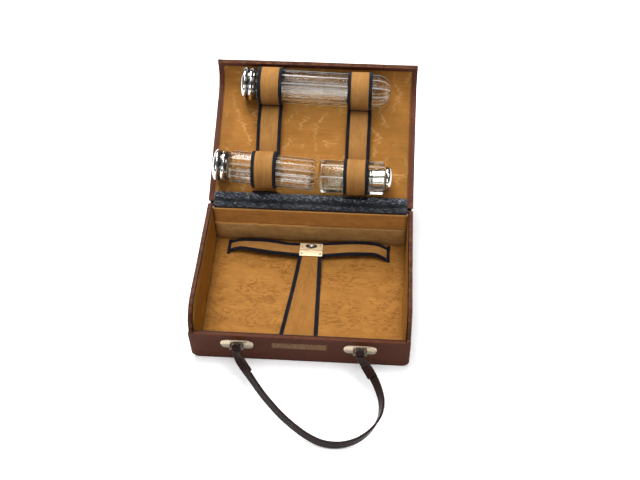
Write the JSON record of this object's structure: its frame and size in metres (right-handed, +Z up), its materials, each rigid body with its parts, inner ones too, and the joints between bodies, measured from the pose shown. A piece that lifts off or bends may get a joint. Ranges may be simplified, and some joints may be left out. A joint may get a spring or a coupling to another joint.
{
  "type": "travelling toiletry case",
  "caption": "Leather travelling toilet case, open: silk-lined base with cross band and catch strap, curved-front lid with strapped glass vessels, and a looped carrying handle.",
  "frame": {"origin": "middle of the base's underside, where the case stands", "axes": "+Z up, -Y towards the front wall with the handle, +X to the right seen from the front; stored with the lid open and the handle lying down"},
  "size_m": [0.24, 0.4313, 0.1548],
  "materials": {
    "brown_leather": "satin",
    "lid_border_leather": "satin",
    "bottom_leather": "satin",
    "navy_leather": "satin",
    "handle_leather": "satin",
    "board": "matte",
    "silk": "satin",
    "silk_strap": "satin",
    "navy_binding": "matte",
    "clear_glass": "polished",
    "silver": "polished",
    "cork": "matte",
    "gilt_brass": "satin",
    "plated_steel": "satin",
    "spring_steel": "satin"
  },
  "bodies": {
    "base": {"bottom_leather": "bottom_leather", "floor_board": "board", "floor_lining": "silk", "front_board": "board", "front_leather": "brown_leather", "front_lining": "silk", "rear_board": "board", "rear_leather": "brown_leather", "rear_lining": "silk", "rear_pocket": "silk", "side_board_left": "board", "side_board_right": "board", "side_leather_left": "brown_leather", "side_leather_right": "brown_leather", "side_lining_left": "silk", "side_lining_right": "silk", "hinge_gusset_base": "navy_leather", "hinge_leather": "brown_leather", "cross_band": "silk_strap", "cross_band_binding": "navy_binding", "cross_band_tabs": "navy_binding", "catch_box": "gilt_brass", "catch_plate": "gilt_brass", "catch_pins": "gilt_brass", "catch_spring": "spring_steel", "handle_plate_left": "plated_steel", "handle_plate_right": "plated_steel", "handle_staple_left": "plated_steel", "handle_staple_right": "plated_steel", "plate_prongs": "plated_steel"},
    "lid": {"lid_board": "board", "lid_leather": "brown_leather", "lid_border": "lid_border_leather", "lid_lining": "silk", "hinge_gusset_lid": "navy_leather", "lid_strap_left": "silk_strap", "lid_strap_left_binding": "navy_binding", "lid_strap_right": "silk_strap", "lid_strap_right_binding": "navy_binding"},
    "button": {"catch_button": "gilt_brass"},
    "hasp": {"hasp_strap": "silk_strap", "hasp_strap_binding": "navy_binding", "hasp_plate": "gilt_brass", "hasp_rivets": "gilt_brass"},
    "handle": {"handle_strap": "handle_leather", "handle_end_left": "handle_leather", "handle_end_right": "handle_leather"},
    "tube": {"tube_glass": "clear_glass"},
    "tube_top": {"tube_cap": "silver", "tube_cap_liner": "cork"},
    "bottle": {"bottle_glass": "clear_glass"},
    "bottle_top": {"bottle_cap": "silver", "bottle_cap_liner": "cork"},
    "jar": {"jar_glass": "clear_glass"},
    "jar_top": {"jar_cap": "silver", "jar_cap_washer": "cork"}
  },
  "joints": [
    {"name": "lid_hinge", "type": "hinge", "parent": "base", "child": "lid", "pos_m": [0, 0.088, 0.0605], "axis": [1, 0, 0], "range_deg": [0, 155]},
    {"name": "handle_swing", "type": "hinge", "parent": "base", "child": "handle", "pos_m": [0, -0.0915, 0.0295], "axis": [-1, 0, 0], "range_deg": [0, 104]},
    {"name": "hasp_swing", "type": "hinge", "parent": "base", "child": "hasp", "pos_m": [0, -0.0784, 0.0061], "axis": [-1, 0, 0], "range_deg": [-80, 0]},
    {"name": "catch_press", "type": "slide", "parent": "base", "child": "button", "axis": [0, 0, 1], "range_m": [-0.0008, 0], "stiffness_N_per_m": 400, "springref_m": 0.0008, "deforming": ["catch_spring"]},
    {"name": "tube_slide", "type": "slide", "parent": "lid", "child": "tube", "axis": [0.9996, -0.026, -0.0102], "range_m": [-0.15, 0]},
    {"name": "tube_cap_pull", "type": "slide", "parent": "tube", "child": "tube_top", "axis": [0.9996, -0.026, -0.0102], "range_m": [-0.03, 0]},
    {"name": "bottle_slide", "type": "slide", "parent": "lid", "child": "bottle", "axis": [0.9976, -0.0649, -0.0256], "range_m": [-0.066, 0]},
    {"name": "bottle_cap_pull", "type": "slide", "parent": "bottle", "child": "bottle_top", "axis": [0.9976, -0.0649, -0.0256], "range_m": [-0.03, 0]},
    {"name": "jar_slide", "type": "slide", "parent": "lid", "child": "jar", "axis": [-1, 0, 0], "range_m": [-0.046, 0]},
    {"name": "jar_cap_pull", "type": "slide", "parent": "jar", "child": "jar_top", "axis": [-1, 0, 0], "range_m": [-0.045, 0]}
  ]
}
